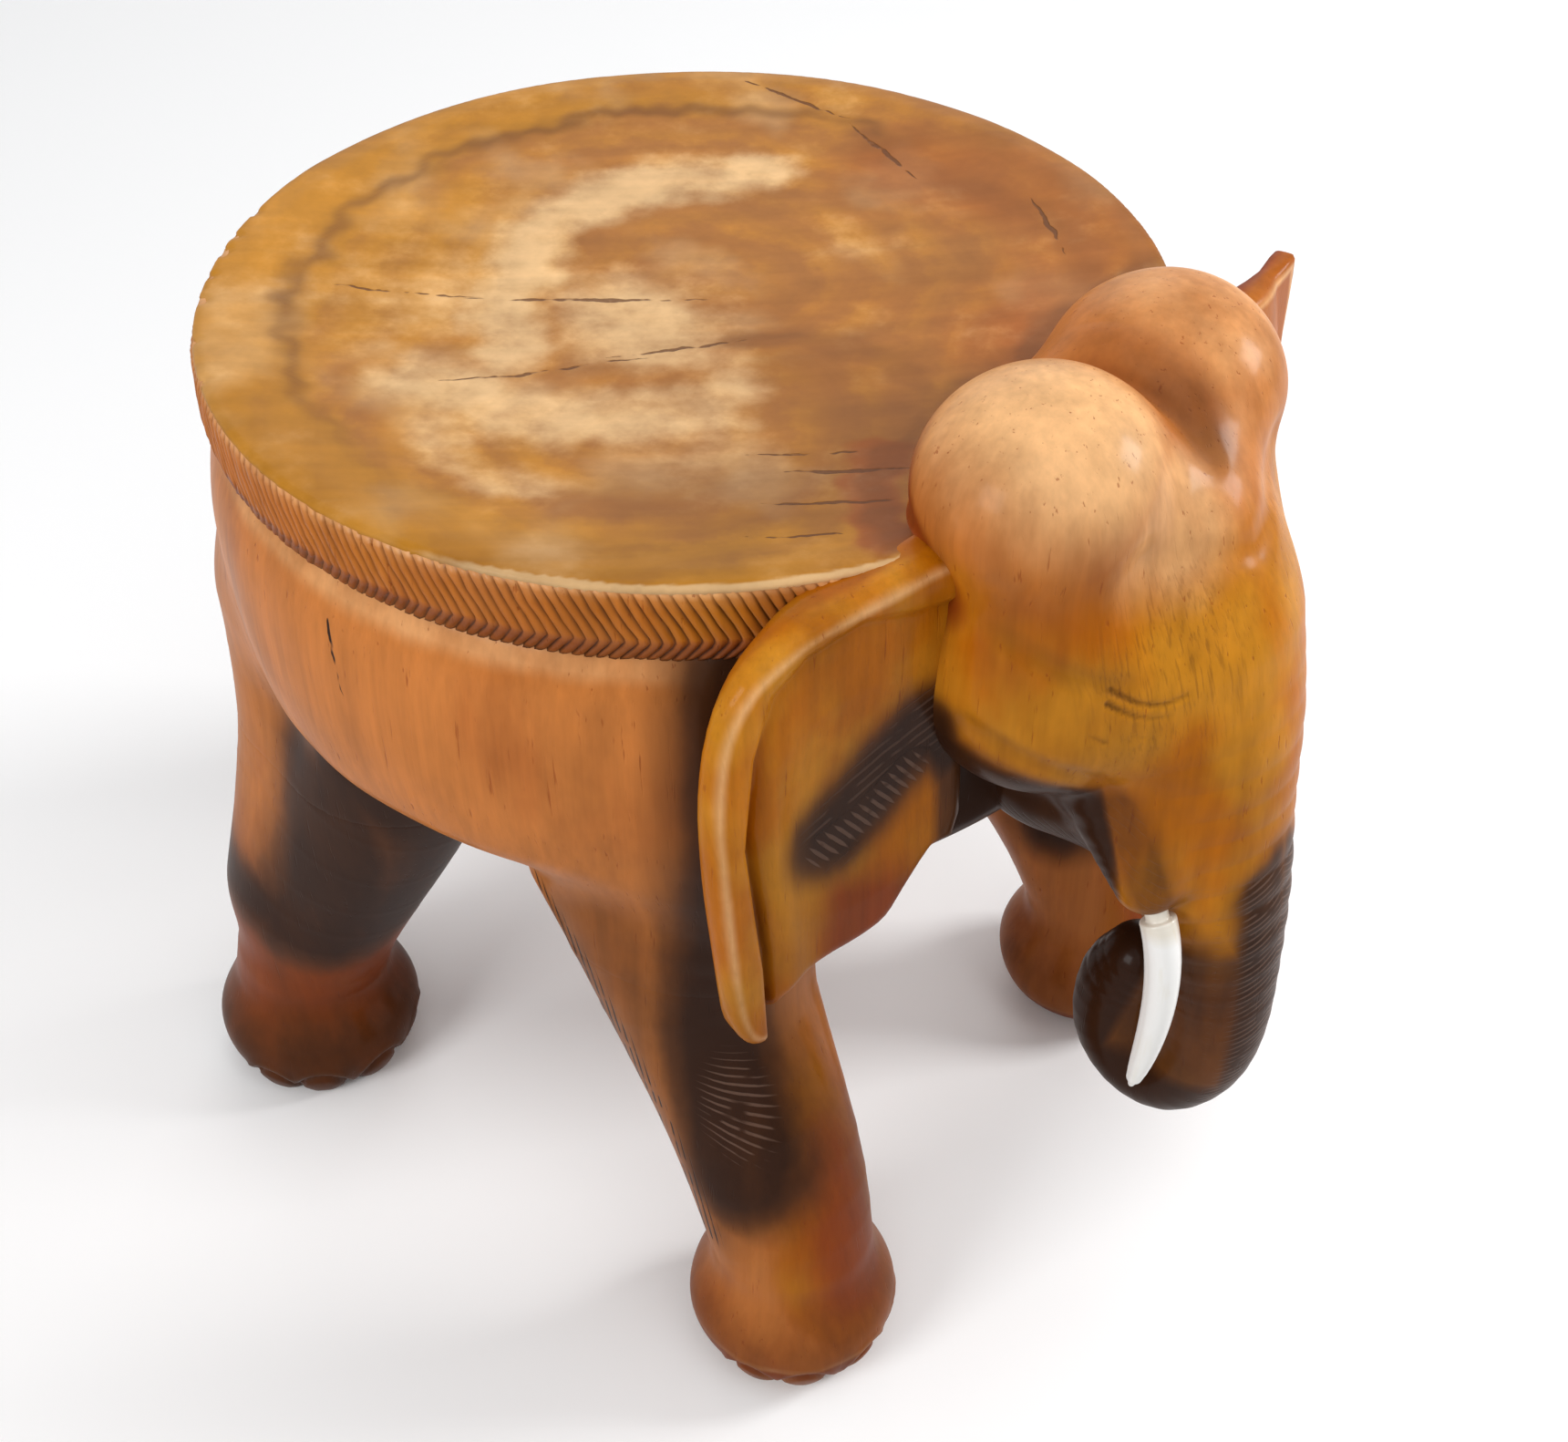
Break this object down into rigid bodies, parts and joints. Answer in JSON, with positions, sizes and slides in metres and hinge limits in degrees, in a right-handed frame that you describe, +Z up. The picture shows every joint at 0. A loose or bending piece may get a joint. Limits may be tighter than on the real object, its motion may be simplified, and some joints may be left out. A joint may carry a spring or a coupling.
{
  "type": "carved elephant stool",
  "caption": "Low elephant stool carved from a solid log, with a dished round seat as its back, bulb feet, a curled trunk and glued-in white tusks.",
  "frame": {"origin": "middle of the stool's length and width, on the floor; the seat's axis is 35.1 mm behind it", "axes": "+X towards the elephant's head, +Y to the elephant's left, +Z up"},
  "size_m": [0.4301, 0.344, 0.4089],
  "materials": {
    "wood": "stained and lacquered, semi-gloss, with burnt dark areas and a pale sapwood edge on the seat",
    "tusk": "gloss white"
  },
  "bodies": {
    "root": {"carved_block": "wood", "tusk_right": "tusk", "tusk_left": "tusk"}
  },
  "joints": []
}
